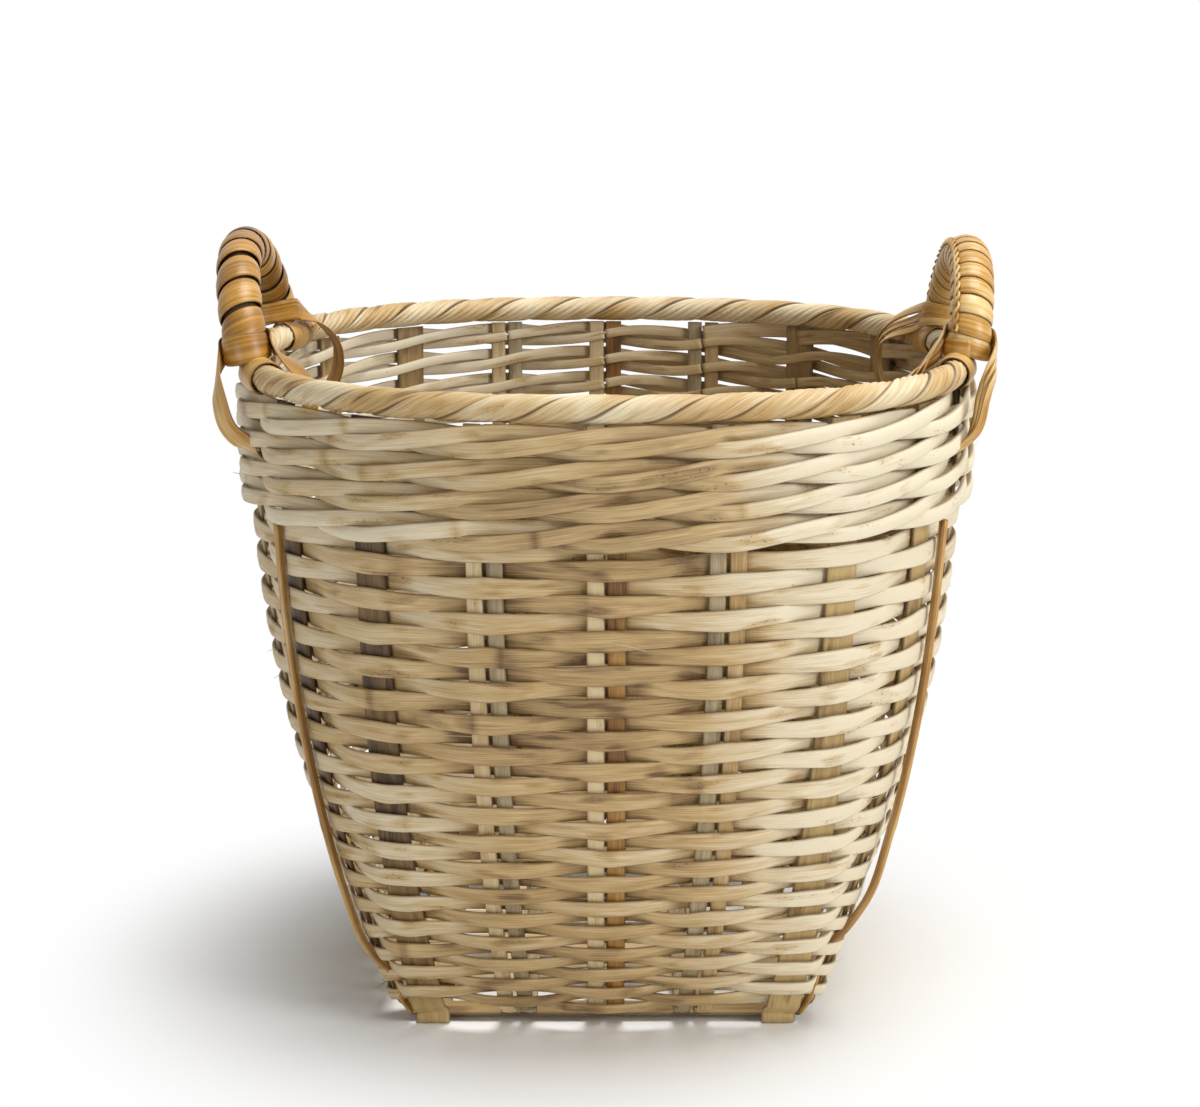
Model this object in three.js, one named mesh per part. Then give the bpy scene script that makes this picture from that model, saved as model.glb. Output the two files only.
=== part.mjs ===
// A market basket of split bamboo: a square woven base whose strips turn up as stakes,
// two weavers chasing each other round the wall, a three-strand band, a rope rim
// and two rattan handles bound on with peel.
// Millimetres, +Z up. The origin is on the floor under the middle of the base,
// -Y is the front and the handles stand at +X and -X.
import * as THREE from 'three';

// Overall shape
const baseHalf = 104; // middle of the base to the middle of a strip that turns up
const rimHalf = 187; // middle of the basket to the middle of a stake at the rim
const rimSquareness = 2.4; // exponent of the rim's superellipse, where 2 is a circle
const rimHeight = 342; // floor to the middle of the rope rim
const wallBelly = 2.5; // how early the wall swells out from base to rim
const clearance = 0.35; // gap left between pieces that touch

// Base and stakes
const stakesPerSide = 5;
const slatWidth = 18; // the outermost strip each way, one on each side of a corner
const slatThickness = 2.5;
const slatInset = 13; // middle of a slat in from the turned-up strips
const splintWidth = 9; // the other strips go in pairs of splints
const splintThickness = 2;
const splintGap = 1.2; // between the two splints of a pair
const heelHeight = 6; // a slat stands almost upright this high before the wall leans out
const heelLean = 1; // and leans out this much there
const heelRadius = 3; // a pair of splints turns up round this
const wallFoot = 12; // height at which the curved wall starts
const wallStations = 8; // straight stretches that follow the curve of a stake
const stationSpread = 1.5; // they are shorter low down, where the wall curves more

// Weave
const weaverRows = 34;
const weaverThickness = 1.6;
const weaverGap = 0.85; // between one row and the next
const weaverReach = 1.5; // a weaver stays flat this far past a pair's edge
const cornerReach = 3.5; // and this far past a slat's, because the wall turns there
const weaverBow = 1.9; // and bows away from a stake behind it
const weaverLengths = 8; // splints spliced end to end in each of the two weavers
const spliceGap = 1;
const weaveFoot = 12; // lower edge of the weave
const weaveDrop = 69; // middle of the rim down to the upper edge of the weave
const rowSpread = 1.17; // rows widen towards the top

// Band
const bandDrop = 67; // middle of the rim down to the lower edge of the band
const bandRounds = 4;
const bandPitch = 15; // height from one round to the next
const strandCount = 3;
const strandWidth = 5.6;
const strandThickness = 2.5;
const strandRise = 3.6; // above and below the middle of its round
const strandStand = 2; // how far the band stands off the stakes
const strandLap = 3.9; // how far a strand that has just come out stands off the one above it
const strandLead = 7; // and is up to its full height this far before the next stake
const stepStake = 12; // the stake where each round steps up to the next
const stepStakes = 3;

// Rim rope
const ropeLong = 7.5; // half width of the rope across its two lobes
const ropeShort = 5.4;
const ropeLay = 66; // length in which the lobes turn once
const ropeSteps = 128;
const ropeSides = 6;

// Handles
const archReach = 193; // middle of the basket to the middle of an arch at its top
const legStand = 4.5; // a leg stands this far outside the middle of the rope
const coreRadius = 9.5;
const coreSides = 8;
const archSteps = 14;
const peelThickness = 1.5;
const peelSteps = 8; // in each turn of the winding
const windingStart = 0.25; // angle along the arch at which the winding begins and ends
const leftSpread = 70; // half the distance between the legs of the left handle
const leftRise = 48; // height of its arch
const leftTurns = 12; // turns of peel round it
const rightSpread = 53;
const rightRise = 44;
const rightTurns = 14;
const peelCover = 0.9; // share of a turn's length that the peel covers

// Lashings and side canes
const strapWidth = 7;
const strapThickness = 0.9;
const strapStand = 3; // strap off the band and the rope
const strapBow = 7; // and this much more halfway up
const strapBend = 3; // it turns this far from the wall to go through it
const legStops = 4; // straight stretches of a strap round a leg
const strapLift = 2; // strap above the foot of the leg that it goes round
const caneRadius = 2;
const caneSides = 6;
const caneSteps = 20;
const caneFootHeight = 5;
// Stops of a cane from the top: a share of the band's height, how far it is from the middle of its slat
// towards the corner, and how far it stands off the slat there
const caneStops = [
  [1, 0, 7.5],
  [0.82, 1, 7.5],
  [0.6, 4, 8],
  [0.4, 7, 8.5],
  [0.225, 10, 8.5],
  [0.127, 12.5, 8],
  [0.066, 14, 10.5],
  [0.034, 13.5, 9.5],
];

const bambooPale = { color: 0xdccba3, roughness: 0.62, metalness: 0 };
const bambooBand = { color: 0xe2d4b0, roughness: 0.58, metalness: 0 };
const bambooStake = { color: 0xcdb88a, roughness: 0.66, metalness: 0 };
const bambooBrown = { color: 0x8d7350, roughness: 0.7, metalness: 0 };
const rattanPeel = { color: 0xba8436, roughness: 0.42, metalness: 0 };
const rattanCore = { color: 0x9a7442, roughness: 0.6, metalness: 0 };

const basket = new THREE.Group();
const up = new THREE.Vector3(0, 0, 1);
const stakeCount = 4 * stakesPerSide;
const sideMiddle = (stakesPerSide - 1) / 2;
const stakeTop = rimHeight - ropeLong - clearance;
const bandFoot = rimHeight - bandDrop;
const weaveTop = rimHeight - weaveDrop;
const slatAt = baseHalf - slatInset;
const stakePitch = slatAt / sideMiddle;
const pairWidth = 2 * splintWidth + splintGap;

function addPiece(name, geometry, finish) {
  const flat = geometry.index ? geometry.toNonIndexed() : geometry;
  flat.computeVertexNormals();
  const mesh = new THREE.Mesh(flat, new THREE.MeshStandardMaterial(finish));
  mesh.name = name;
  basket.add(mesh);
}

// Joins rings of equally many points into one closed body, with flat ends unless it is a loop
function loft(rings, isLoop = false) {
  const size = rings[0].length;
  const index = [];
  const bands = isLoop ? rings.length : rings.length - 1;
  for (let i = 0; i < bands; i++) {
    const here = i * size;
    const next = ((i + 1) % rings.length) * size;
    for (let j = 0; j < size; j++) {
      const turn = (j + 1) % size;
      index.push(here + j, here + turn, next + turn, here + j, next + turn, next + j);
    }
  }
  if (!isLoop) {
    const last = (rings.length - 1) * size;
    for (let j = 1; j < size - 1; j++) {
      index.push(0, j + 1, j);
      index.push(last, last + j, last + j + 1);
    }
  }
  const points = rings.flat();
  if (enclosedVolume(points, index) < 0) index.reverse();
  const geometry = new THREE.BufferGeometry().setFromPoints(points);
  geometry.setIndex(index);
  return geometry;
}

function enclosedVolume(points, index) {
  let sum = 0;
  const cross = new THREE.Vector3();
  for (let i = 0; i < index.length; i += 3) {
    cross.crossVectors(points[index[i + 1]], points[index[i + 2]]);
    sum += points[index[i]].dot(cross) / 6;
  }
  return sum;
}

// Directions of a side: 0 is the front, then counter-clockwise seen from above
function sideAxes(side) {
  const turn = (side * Math.PI) / 2;
  return {
    along: new THREE.Vector3(Math.cos(turn), Math.sin(turn), 0),
    out: new THREE.Vector3(Math.sin(turn), -Math.cos(turn), 0),
  };
}

// Share of the way from the base's square to the rim's outline at a height
function swell(z) {
  return 1 - Math.max(0, 1 - z / rimHeight) ** wallBelly;
}

function rimRadiusAt(angle) {
  const c = Math.abs(Math.cos(angle)) ** rimSquareness;
  const s = Math.abs(Math.sin(angle)) ** rimSquareness;
  return rimHalf * (c + s) ** (-1 / rimSquareness);
}

// Angle of the rim's outward normal where the rim is at an angle from the side's middle
function rimNormalAngle(angle) {
  const power = rimSquareness - 1;
  return Math.sign(angle) * Math.atan(Math.abs(Math.tan(angle)) ** power);
}

// Middle of a stake on the wall, and the level direction across it
function wallPoint(side, place, z) {
  const { along, out } = sideAxes(side);
  const share = swell(z);
  const angle = (place * 2 * Math.PI) / stakeCount;
  const radius = rimRadiusAt(angle);
  const across = place * stakePitch * (1 - share) + radius * Math.sin(angle) * share;
  const away = baseHalf * (1 - share) + radius * Math.cos(angle) * share;
  const turn = rimNormalAngle(angle) * share;
  const p = along.clone().multiplyScalar(across).addScaledVector(out, away);
  p.z = z;
  const t = along.clone().multiplyScalar(Math.cos(turn)).addScaledVector(out, -Math.sin(turn));
  return { p, t };
}

const stationHeights = [];
for (let j = 0; j <= wallStations; j++) {
  stationHeights.push(wallFoot + (stakeTop - wallFoot) * (j / wallStations) ** stationSpread);
}

// Levels of the base: two slats lie on the floor, two cross them, and the pairs weave above
const lowSlat = slatThickness / 2;
const highSlat = lowSlat + slatThickness + clearance;
const matLow = highSlat + slatThickness / 2 + clearance + splintThickness / 2;
const matHigh = matLow + splintThickness + clearance;

// Path of a strip across the base, as distances from the middle and heights
function basePath(side, place) {
  if (Math.abs(place) === sideMiddle) {
    const level = side === 0 ? lowSlat : highSlat;
    const rise = [baseHalf + heelLean, level + heelHeight];
    return [rise, [baseHalf, level], [-baseHalf, level], [-rise[0], rise[1]]];
  }
  const path = [[baseHalf, matLow + heelRadius], [baseHalf - heelRadius, matLow]];
  const flat = pairWidth / 2 + weaverReach;
  const inner = sideMiddle - 1;
  for (let crossing = inner; crossing >= -inner; crossing--) {
    const isOver = (place + crossing + side) % 2 === 0;
    const level = isOver ? matHigh : matLow;
    path.push([crossing * stakePitch + flat, level], [crossing * stakePitch - flat, level]);
  }
  path.push([heelRadius - baseHalf, matLow], [-baseHalf, matLow + heelRadius]);
  return path;
}

// Gives each frame of a strip its outward normal, mitred where the strip bends
function setNormals(frames) {
  const flats = [];
  for (let i = 0; i + 1 < frames.length; i++) {
    const run = frames[i + 1].p.clone().sub(frames[i].p);
    const across = frames[i].t.clone().add(frames[i + 1].t);
    flats.push(new THREE.Vector3().crossVectors(run, across).normalize());
  }
  frames.forEach((frame, i) => {
    const before = flats[Math.max(0, i - 1)];
    const after = flats[Math.min(flats.length - 1, i)];
    frame.n = before.clone().add(after).divideScalar(1 + before.dot(after));
  });
}

// A strip's frames from the top of one wall, under the base, to the top of the opposite wall
function stripFrames(side, place) {
  const { along, out } = sideAxes(side);
  const frames = [];
  for (const z of [...stationHeights].reverse()) frames.push(wallPoint(side, place, z));
  for (const [away, z] of basePath(side, place)) {
    const p = along.clone().multiplyScalar(place * stakePitch).addScaledVector(out, away);
    p.z = z;
    frames.push({ p, t: along.clone() });
  }
  for (const z of stationHeights) {
    const { p, t } = wallPoint(side + 2, -place, z);
    frames.push({ p, t: t.negate() });
  }
  setNormals(frames);
  return frames;
}

function offset(frame, across, away) {
  return frame.p.clone().addScaledVector(frame.t, across).addScaledVector(frame.n, away);
}

function flatSection(frame, across, width, thickness) {
  return [
    offset(frame, across - width / 2, -thickness / 2),
    offset(frame, across + width / 2, -thickness / 2),
    offset(frame, across + width / 2, thickness / 2),
    offset(frame, across - width / 2, thickness / 2),
  ];
}

// Stakes: every strip of the base, turned up at both ends
const walls = [];
const stripNames = ['front_to_back', 'right_to_left'];
for (const side of [0, 1]) {
  for (let place = -sideMiddle; place <= sideMiddle; place++) {
    const frames = stripFrames(side, place);
    const nearWall = frames.slice(0, wallStations + 1).reverse();
    const farWall = frames.slice(-wallStations - 1).map(({ p, t, n }) => ({ p, t: t.clone().negate(), n }));
    walls[side * stakesPerSide + place + sideMiddle] = nearWall;
    walls[(side + 2) * stakesPerSide - place + sideMiddle] = farWall;
    const number = place + sideMiddle + 1;
    if (Math.abs(place) === sideMiddle) {
      const rings = frames.map((frame) => flatSection(frame, 0, slatWidth, slatThickness));
      addPiece(`slat_${stripNames[side]}_${number}`, loft(rings), bambooBrown);
      continue;
    }
    for (const half of [-1, 1]) {
      const across = (half * (splintWidth + splintGap)) / 2;
      const rings = frames.map((frame) => flatSection(frame, across, splintWidth, splintThickness));
      const letter = half < 0 ? 'a' : 'b';
      addPiece(`splint_${stripNames[side]}_${number}${letter}`, loft(rings), bambooStake);
    }
  }
}

function isSlat(stake) {
  return Math.abs((stake % stakesPerSide) - sideMiddle) === sideMiddle;
}

// How far from a stake's middle a strip that passes it stays flat
function flatReach(stake) {
  return isSlat(stake) ? slatWidth / 2 + cornerReach : pairWidth / 2 + weaverReach;
}

// Half the thickness of a stake, its gap and half the thickness of what passes it.
// A slat twists a little between stations, so what passes it keeps twice the clearance.
function passing(stake, thickness) {
  if (isSlat(stake)) return slatThickness / 2 + 2 * clearance + thickness / 2;
  return splintThickness / 2 + clearance + thickness / 2;
}

// Frame of a stake at any height, on the straight stretch between two stations
function frameAt(stake, z) {
  const wall = walls[stake];
  let j = wall.findIndex((frame) => frame.p.z > z) - 1;
  if (j === -2) j = wall.length - 2;
  j = Math.max(0, j);
  const share = (z - wall[j].p.z) / (wall[j + 1].p.z - wall[j].p.z);
  return {
    p: wall[j].p.clone().lerp(wall[j + 1].p, share),
    t: wall[j].t.clone().lerp(wall[j + 1].t, share),
    n: wall[j].n.clone().lerp(wall[j + 1].n, share),
  };
}

// Section of a strip that runs round the wall past a stake
function roundSection(stake, across, away, thickness, low, high) {
  const lower = frameAt(stake, low);
  const upper = frameAt(stake, high);
  return [
    offset(lower, across, away - thickness / 2),
    offset(lower, across, away + thickness / 2),
    offset(upper, across, away + thickness / 2),
    offset(upper, across, away - thickness / 2),
  ];
}

// Height of a place in the weave, counted in rows from its lower edge
function rowHeight(rows) {
  return weaveFoot + (weaveTop - weaveFoot) * (rows / weaverRows) ** rowSpread;
}

// One length of a weaver, from behind one stake to behind another
function weaverGeometry(origin, from, to) {
  const rings = [];
  for (let step = from; step <= to; step++) {
    const stake = step % stakeCount;
    const rows = (2 * (step - origin)) / stakeCount;
    const low = rowHeight(rows) + weaverGap / 2;
    const high = rowHeight(rows + 1) - weaverGap / 2;
    const flush = passing(stake, weaverThickness);
    const flat = flatReach(stake);
    const isBehind = (step - from) % 2 === 0;
    let places = [-flat, flat];
    if (isBehind) places = [0];
    if (step === from) places = [spliceGap / 2];
    if (step === to) places = [-spliceGap / 2];
    const away = isBehind ? -flush - weaverBow : flush;
    for (const across of places) {
      rings.push(roundSection(stake, across, away, weaverThickness, low, high));
    }
  }
  return loft(rings);
}

// Weave: two weavers start on opposite sides, and each climbs two rows a turn
const weaverSteps = (weaverRows - 1) * (stakeCount / 2) + 2;
const weavers = [
  { letter: 'a', origin: 0, start: 1 },
  { letter: 'b', origin: stakeCount / 2, start: stakeCount / 2 },
];
for (const { letter, origin, start } of weavers) {
  for (let i = 0; i < weaverLengths; i++) {
    const from = start + 2 * Math.round((weaverSteps * i) / weaverLengths / 2);
    const to = start + 2 * Math.round((weaverSteps * (i + 1)) / weaverLengths / 2);
    addPiece(`weaver_${letter}${i + 1}`, weaverGeometry(origin, from, to), bambooPale);
  }
}

// Height of a round's middle, level but for the step up to the next round
function roundHeight(step) {
  const round = Math.floor(step / stakeCount);
  const inRound = step - round * stakeCount;
  const climb = Math.max(0, inRound - (stakeCount - stepStakes)) / stepStakes;
  return bandFoot + strandRise + strandWidth / 2 + bandPitch * (round + climb);
}

// One length of a strand, from behind one stake to behind another: behind one, then outside two
function strandGeometry(from, to) {
  const rings = [];
  for (let step = from; step <= to; step++) {
    const stake = (step + stepStake) % stakeCount;
    const phase = (step - from) % strandCount;
    const flush = passing(stake, strandThickness);
    const flat = flatReach(stake);
    const middle = roundHeight(step);
    const stand = flush + strandStand;
    let places = [[-flat - strandLead, strandRise, stand], [flat, strandRise, stand]];
    if (phase === 0) places = [[-flat, strandRise, -flush], [flat, -strandRise, -flush]];
    if (phase === 1) places = [[0, -strandRise, stand + strandThickness + strandLap]];
    if (step === from) places[0] = [spliceGap / 2, 0, -flush];
    if (step === to) places[1] = [-spliceGap / 2, 0, -flush];
    for (const [across, lift, away] of places) {
      const low = middle + lift - strandWidth / 2;
      rings.push(roundSection(stake, across, away, strandThickness, low, low + strandWidth));
    }
  }
  return loft(rings);
}

// Band: three strands that start at neighbouring stakes, each of as many lengths as there are rounds
const strandLoops = Math.floor((bandRounds * stakeCount) / strandCount) - 1;
for (let i = 0; i < strandCount; i++) {
  for (let j = 0; j < bandRounds; j++) {
    const from = i + strandCount * Math.round((strandLoops * j) / bandRounds);
    const to = i + strandCount * Math.round((strandLoops * (j + 1)) / bandRounds);
    addPiece(`band_strand_${i + 1}_round_${j + 1}`, strandGeometry(from, to), bambooBand);
  }
}

// Rim: a rope of two lobes that turns as it runs round the top of the stakes
function rimRopeGeometry() {
  const outline = [];
  for (let i = 0; i < ropeSteps; i++) {
    const angle = (i * 2 * Math.PI) / ropeSteps;
    const radius = rimRadiusAt(angle);
    outline.push(new THREE.Vector3(radius * Math.cos(angle), radius * Math.sin(angle), rimHeight));
  }
  const path = new THREE.CatmullRomCurve3(outline, true);
  const turns = Math.round(path.getLength() / ropeLay);
  const rings = [];
  for (let i = 0; i < ropeSteps; i++) {
    const share = i / ropeSteps;
    const middle = path.getPointAt(share);
    const away = new THREE.Vector3().crossVectors(path.getTangentAt(share), up).normalize();
    const lay = turns * share * 2 * Math.PI;
    const ring = [];
    for (let j = 0; j < ropeSides; j++) {
      const around = (j * 2 * Math.PI) / ropeSides;
      const long = ropeLong * Math.cos(around);
      const short = ropeShort * Math.sin(around);
      const side = long * Math.cos(lay) - short * Math.sin(lay);
      const lift = long * Math.sin(lay) + short * Math.cos(lay);
      ring.push(middle.clone().addScaledVector(away, side).addScaledVector(up, lift));
    }
    rings.push(ring);
  }
  return loft(rings, true);
}
addPiece('rim_rope', rimRopeGeometry(), bambooBand);

// Handles: an arch of rattan on the rim, wound with peel and lashed to the band
const legFoot = rimHeight + ropeLong + clearance;
const handles = [
  { name: 'left', side: -1, spread: leftSpread, rise: leftRise, turns: leftTurns },
  { name: 'right', side: 1, spread: rightSpread, rise: rightRise, turns: rightTurns },
];

// Middle of an arch at an angle, with the directions away from its opening and across it
function archFrame({ side, spread, rise }, angle) {
  const legAngle = Math.asin(spread / rimHalf);
  const legAway = rimRadiusAt(legAngle) * Math.cos(legAngle) + legStand;
  const archLean = archReach - legAway;
  const p = new THREE.Vector3(
    side * (legAway + archLean * Math.sin(angle)),
    spread * Math.cos(angle),
    legFoot + rise * Math.sin(angle),
  );
  const run = new THREE.Vector3(
    side * archLean * Math.cos(angle),
    -spread * Math.sin(angle),
    rise * Math.cos(angle),
  ).normalize();
  const across = new THREE.Vector3(side, 0, 0);
  across.addScaledVector(run, -across.dot(run)).normalize();
  return { p, away: new THREE.Vector3().crossVectors(run, across), across };
}

function archPoint(handle, angle, around, radius) {
  const { p, away, across } = archFrame(handle, angle);
  p.addScaledVector(away, radius * Math.cos(around));
  return p.addScaledVector(across, radius * Math.sin(around));
}

function coreGeometry(handle) {
  const rings = [];
  for (let i = 0; i <= archSteps; i++) {
    const ring = [];
    for (let j = 0; j < coreSides; j++) {
      const around = (j * 2 * Math.PI) / coreSides;
      ring.push(archPoint(handle, (i * Math.PI) / archSteps, around, coreRadius));
    }
    rings.push(ring);
  }
  return loft(rings);
}

// The inside of the peel clears the core where a flat step of it comes nearest
const peelInside = (coreRadius + clearance) / Math.cos(Math.PI / peelSteps);
const peelOutside = peelInside + peelThickness;

function windingGeometry(handle) {
  const { name, turns } = handle;
  const pitch = (Math.PI - 2 * windingStart) / (turns + peelCover);
  const steps = turns * peelSteps;
  const rings = [];
  for (let i = 0; i <= steps; i++) {
    const around = (i * 2 * Math.PI) / peelSteps;
    const low = windingStart + (pitch * i) / peelSteps;
    const high = low + pitch * peelCover;
    rings.push([
      archPoint(handle, low, around, peelInside),
      archPoint(handle, low, around, peelOutside),
      archPoint(handle, high, around, peelOutside),
      archPoint(handle, high, around, peelInside),
    ]);
  }
  let least = Infinity;
  for (let i = 0; i + peelSteps <= steps; i++) {
    least = Math.min(least, rings[i][3].distanceTo(rings[i + peelSteps][0]));
    least = Math.min(least, rings[i][2].distanceTo(rings[i + peelSteps][1]));
  }
  console.log(`${name} handle winding: least gap between turns ${least.toFixed(2)} mm`);
  return loft(rings);
}

// Frame halfway between two stakes at a height
function frameBetween(first, second, z) {
  const a = frameAt(first, z);
  const b = frameAt(second, z);
  return {
    p: a.p.lerp(b.p, 0.5),
    t: a.t.add(b.t).normalize(),
    n: a.n.add(b.n).setZ(0).normalize(),
  };
}

// A lashing goes round the foot of a leg, down both sides of the band and through the wall
// between its second and third rounds. Each stop is a point and the way the strap faces there.
function lashingGeometry(handle, end) {
  const { side } = handle;
  const sideNumber = side > 0 ? 1 : 3;
  const middleStake = sideNumber * stakesPerSide + sideMiddle;
  const turn = side * end;
  const slotHeight = bandFoot + 2 * bandPitch - (bandPitch - 2 * strandRise - strandWidth) / 2;
  const slot = frameBetween(middleStake + turn, middleStake + 2 * turn, slotHeight);
  const lowStrand = passing(middleStake, strandThickness) + strandStand + strandThickness + strandLap;
  const bandOut = lowStrand + strandThickness / 2;
  const outside = bandOut + strapStand;
  const inside = -ropeLong - strapStand;
  const at = (away, lift) => slot.p.clone().addScaledVector(slot.n, away).setZ(slotHeight + lift);
  const halfWay = (rimHeight - slotHeight) / 2;
  const stops = [
    { p: at(outside - strapBend, 0), face: slot.n.clone().sub(up) },
    { p: at(outside, strapBend), face: slot.n.clone() },
    { p: at(outside + strapBow, halfWay), face: slot.n.clone() },
  ];
  const upLeg = Math.asin((strapLift + strapWidth / 2) / handle.rise);
  const angle = end > 0 ? upLeg : Math.PI - upLeg;
  const legMiddle = archFrame(handle, angle).p;
  const legStep = Math.PI / legStops;
  const legRadius = (coreRadius + clearance + strapThickness / 2) / Math.cos(legStep / 2);
  for (let i = 0; i <= legStops; i++) {
    const p = archPoint(handle, angle, Math.PI / 2 + side * i * legStep, legRadius);
    stops.push({ p, face: p.clone().sub(legMiddle) });
  }
  stops.push({ p: at(inside - strapBow, halfWay), face: slot.n.clone().negate() });
  stops.push({ p: at(inside, strapBend), face: slot.n.clone().negate() });
  stops.push({ p: at(inside + strapBend, 0), face: slot.n.clone().negate().sub(up) });
  const rings = stops.map(({ p, face }, i) => {
    const before = stops[(i + stops.length - 1) % stops.length].p;
    const after = stops[(i + 1) % stops.length].p;
    const run = after.clone().sub(before).normalize();
    const out = face.addScaledVector(run, -face.dot(run)).normalize();
    const wide = new THREE.Vector3().crossVectors(out, run);
    return flatSection({ p, t: wide, n: out }, 0, strapWidth, strapThickness);
  });
  return loft(rings, true);
}

for (const handle of handles) {
  addPiece(`handle_core_${handle.name}`, coreGeometry(handle), rattanCore);
  addPiece(`handle_winding_${handle.name}`, windingGeometry(handle), rattanPeel);
  for (const [endName, end] of [['front', -1], ['back', 1]]) {
    addPiece(`lashing_${handle.name}_${endName}`, lashingGeometry(handle, end), rattanPeel);
  }
}

// Side canes: from under the band, down a slat of a handle side, to the corner of the base
const caneFoot = slatWidth / 2 + slatAt + caneRadius + clearance;

function caneGeometry(stake, turn) {
  const points = caneStops.map(([share, across, away]) => {
    const z = share * (bandFoot - caneRadius);
    return offset(frameAt(stake, z), turn * across, away).setZ(z);
  });
  const corner = new THREE.Vector3(Math.sign(points[0].x), Math.sign(points[0].y), 0);
  points.push(corner.multiplyScalar(caneFoot).setZ(caneFootHeight));
  const section = new THREE.Shape().absarc(0, 0, caneRadius, 0, 2 * Math.PI);
  const path = new THREE.CatmullRomCurve3(points);
  return new THREE.ExtrudeGeometry(section, {
    steps: caneSteps,
    curveSegments: caneSides / 2,
    extrudePath: path,
  });
}

const handleSides = [
  { first: 'front_right', last: 'back_right', sideNumber: 1 },
  { first: 'back_left', last: 'front_left', sideNumber: 3 },
];
for (const { first, last, sideNumber } of handleSides) {
  const stake = sideNumber * stakesPerSide;
  addPiece(`side_cane_${first}`, caneGeometry(stake, -1), rattanPeel);
  addPiece(`side_cane_${last}`, caneGeometry(stake + stakesPerSide - 1, 1), rattanPeel);
}

export default basket;
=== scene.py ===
# %% [markdown]
# # A market basket of split bamboo
# The imported solids give every piece its place. Here each of them is replaced by the piece as a
# basket maker would cut it: splints with a rounded back, a laid rope, peel wound round a pole.
# The box of the solids is kept.

# %% Load the imported basket
import math

import bpy
import numpy as np
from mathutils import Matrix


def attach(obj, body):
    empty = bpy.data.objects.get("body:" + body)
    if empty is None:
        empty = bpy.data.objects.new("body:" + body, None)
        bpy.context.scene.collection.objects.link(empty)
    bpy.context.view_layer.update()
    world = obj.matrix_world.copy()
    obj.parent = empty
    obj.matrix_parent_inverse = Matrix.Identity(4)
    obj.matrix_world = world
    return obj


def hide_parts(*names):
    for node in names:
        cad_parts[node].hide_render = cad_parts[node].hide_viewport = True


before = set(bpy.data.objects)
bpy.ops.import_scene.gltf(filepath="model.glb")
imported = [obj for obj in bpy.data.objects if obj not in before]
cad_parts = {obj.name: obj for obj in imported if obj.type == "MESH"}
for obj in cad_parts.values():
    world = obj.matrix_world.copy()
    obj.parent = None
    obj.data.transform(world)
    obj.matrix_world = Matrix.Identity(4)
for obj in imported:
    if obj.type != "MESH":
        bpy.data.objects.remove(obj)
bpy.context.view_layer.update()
scene = bpy.context.scene
rng = np.random.default_rng(41)
print("solids loaded:", len(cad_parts))

# %% [markdown]
# ## Camera
# The photograph looks slightly down on the front of the basket with a long lens. Its distance, tilt
# and focal length were found by laying the rim, the base and the stakes over their places in the
# picture, so the camera needs no shift.

# %% Camera
camera_data = bpy.data.cameras.new("camera")
camera_data.sensor_fit = "HORIZONTAL"
camera_data.sensor_width = 36
camera_data.lens = 84.92
tilt_down = 12.29
camera = bpy.data.objects.new("camera", camera_data)
camera.location = (-0.003, -1.5106, 0.5606)
camera.rotation_euler = (math.radians(90 - tilt_down), 0, 0)
scene.collection.objects.link(camera)
scene.camera = camera
scene.view_settings.view_transform = "Standard"
print("camera", tuple(round(v, 3) for v in camera.location))

# %% [markdown]
# ## One way to make a node
# Every finish below is a small tree of shader nodes. One function adds a node, sets its options and
# fills its sockets with a value or with a link, so a finish reads as a list of what feeds what.
# Colours are written as they look on a screen and turned to linear light once.


# %% Node and colour helpers
def linear(code):
    """Linear colour of an sRGB hex code: a channel c becomes ((c + 0.055) / 1.055) to the 2.4, or where
    it is very dark c / 12.92."""
    channels = np.array([int(code[i:i + 2], 16) for i in (1, 3, 5)]) / 255
    bright = ((channels + 0.055) / 1.055) ** 2.4
    return (*np.where(channels <= 0.04045, channels / 12.92, bright).tolist(), 1)


def add_node(tree, kind, sockets=None, **settings):
    """One node with its settings. A socket takes a value, or a node and the name of its output."""
    made = tree.nodes.new(kind)
    for key, value in settings.items():
        setattr(made, key, value)
    for socket, value in (sockets or {}).items():
        if isinstance(value, tuple) and isinstance(value[0], bpy.types.Node):
            tree.links.new(value[0].outputs[value[1]], made.inputs[socket])
        else:
            made.inputs[socket].default_value = value
    return made


def new_finish(name):
    """An empty material and its node tree."""
    finish = bpy.data.materials.new(name)
    finish.use_nodes = True
    finish.node_tree.nodes.clear()
    return finish, finish.node_tree


print("middle grey in linear light:", np.round(linear("#808080"), 3))

# %% [markdown]
# ## Light and floor
# Plain soft studio light: a lamp from the right that leaves the inside of the right wall in shade, a
# weak one from the left and one from above. The world shows white to the camera. The floor is a pale
# sheet that keeps the shadow of the basket and fades to the same white further out.


# %% Lamps
def add_lamp(name, place, target, size, power):
    """A square lamp at a place, turned to face a target."""
    data = bpy.data.lights.new(name, "AREA")
    data.size = size
    data.energy = power
    lamp = bpy.data.objects.new(name, data)
    lamp.location = place
    way = np.array(target) - np.array(place)
    flat = math.hypot(way[0], way[1])
    lamp.rotation_euler = (math.atan2(flat, -way[2]), 0, math.atan2(way[1], way[0]) - math.pi / 2)
    scene.collection.objects.link(lamp)


middle = (0, 0, 0.2)
add_lamp("key_right", (1.6, -1.2, 1.1), middle, 0.95, 26.5)
add_lamp("fill_left", (-1.4, -1.8, 0.4), middle, 0.75, 9.5)
add_lamp("top", (0.4, 0.0, 1.8), middle, 1.0, 26)


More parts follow.
